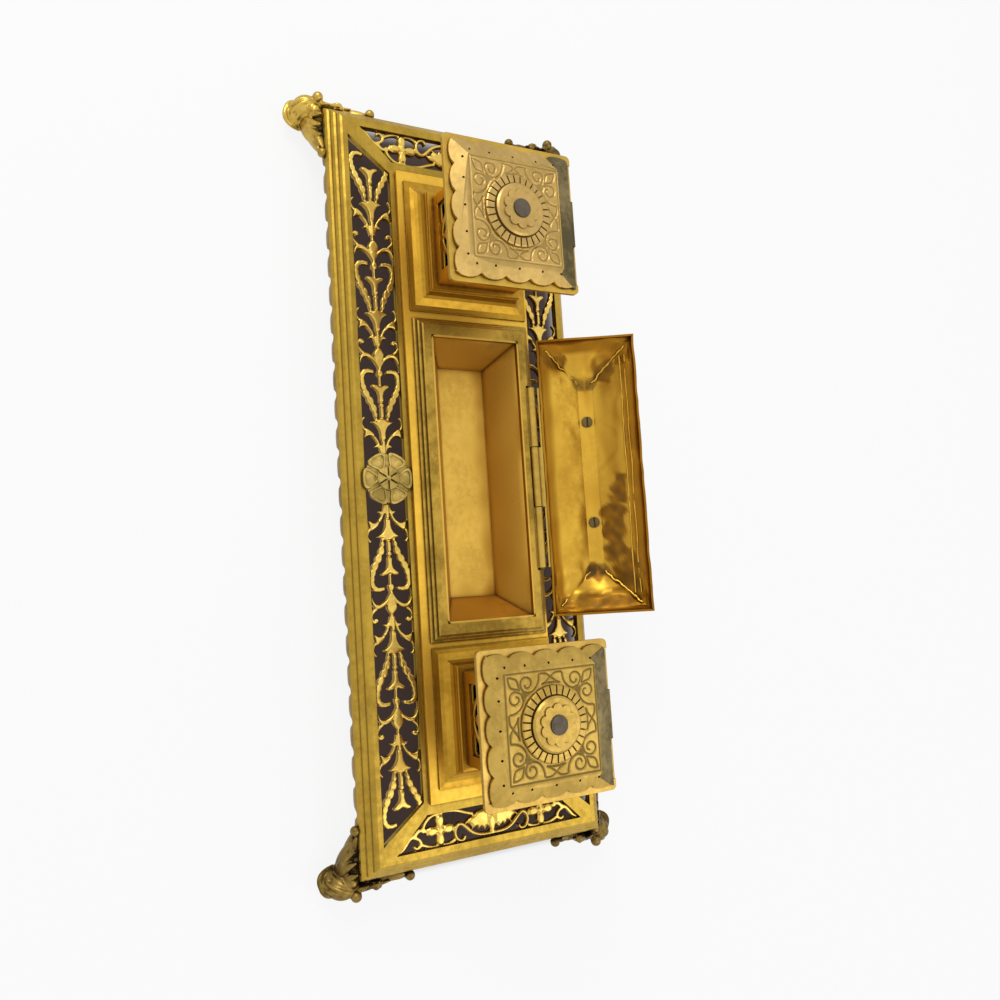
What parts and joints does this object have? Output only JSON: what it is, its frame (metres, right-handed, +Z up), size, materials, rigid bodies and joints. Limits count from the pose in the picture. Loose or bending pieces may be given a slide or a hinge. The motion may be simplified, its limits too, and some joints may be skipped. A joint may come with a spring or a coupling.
{
  "type": "desk inkstand",
  "caption": "Pierced brass desk inkstand on cast feet, with lidded square inkwells and a hip-lidded centre tray.",
  "frame": {"origin": "centre of the stand, on the desk surface under its feet", "axes": "+X to the right along the stand, +Y towards its hinged back edge, +Z up"},
  "size_m": [0.3296, 0.1406, 0.073],
  "materials": {
    "brass": "aged cast and sheet brass, rubbed bright on high places, dark in hollows",
    "pale_brass": "paler, greyer aged brass of the inkwell lids",
    "tray_brass": "warm stained sheet brass of the centre tray",
    "dark_fittings": "dark worn brass of pins, screws and studs",
    "inkwell_glass": "clear pressed glass"
  },
  "bodies": {
    "stand": {"base_frame": "brass", "front_apron": "brass", "rear_apron": "brass", "left_apron": "brass", "right_apron": "brass", "front_fret": "brass", "rear_fret": "brass", "left_fret": "brass", "right_fret": "brass", "front_rosette": "brass", "rear_rosette": "brass", "front_left_foot": "brass", "front_right_foot": "brass", "rear_left_foot": "brass", "rear_right_foot": "brass", "foot_screws": "dark_fittings", "platform": "brass", "box_surround": "brass", "box_tray": "tray_brass", "box_hinge_leaf": "brass", "box_hinge_pin": "dark_fittings", "left_well_plinth": "brass", "left_well_body": "brass", "left_well_screens": "brass", "left_well_top_plate": "pale_brass", "left_inkwell_glass": "inkwell_glass", "left_hinge_leaf": "brass", "left_hinge_pin": "dark_fittings", "right_well_plinth": "brass", "right_well_body": "brass", "right_well_screens": "brass", "right_well_top_plate": "pale_brass", "right_inkwell_glass": "inkwell_glass", "right_hinge_leaf": "brass", "right_hinge_pin": "dark_fittings"},
    "centre_lid": {"box_lid": "brass", "box_lid_hinge_leaf": "brass", "box_lid_handle": "brass", "box_handle_screws": "dark_fittings"},
    "left_well_lid": {"left_lid": "pale_brass", "left_lid_hinge_leaf": "brass", "left_lid_boss": "pale_brass", "left_lid_stud": "dark_fittings"},
    "right_well_lid": {"right_lid": "pale_brass", "right_lid_hinge_leaf": "brass", "right_lid_boss": "pale_brass", "right_lid_stud": "dark_fittings"}
  },
  "joints": [
    {"name": "centre_lid_hinge", "type": "hinge", "parent": "stand", "child": "centre_lid", "pos_m": [0, 0.0283, 0.0298], "axis": [1, 0, 0], "range_deg": [0, 151]},
    {"name": "left_lid_hinge", "type": "hinge", "parent": "stand", "child": "left_well_lid", "pos_m": [-0.0978, 0.0302, 0.06445], "axis": [-1, 0, 0], "range_deg": [0, 105]},
    {"name": "right_lid_hinge", "type": "hinge", "parent": "stand", "child": "right_well_lid", "pos_m": [0.0968, 0.0312, 0.06445], "axis": [-1, 0, 0], "range_deg": [0, 105]}
  ]
}
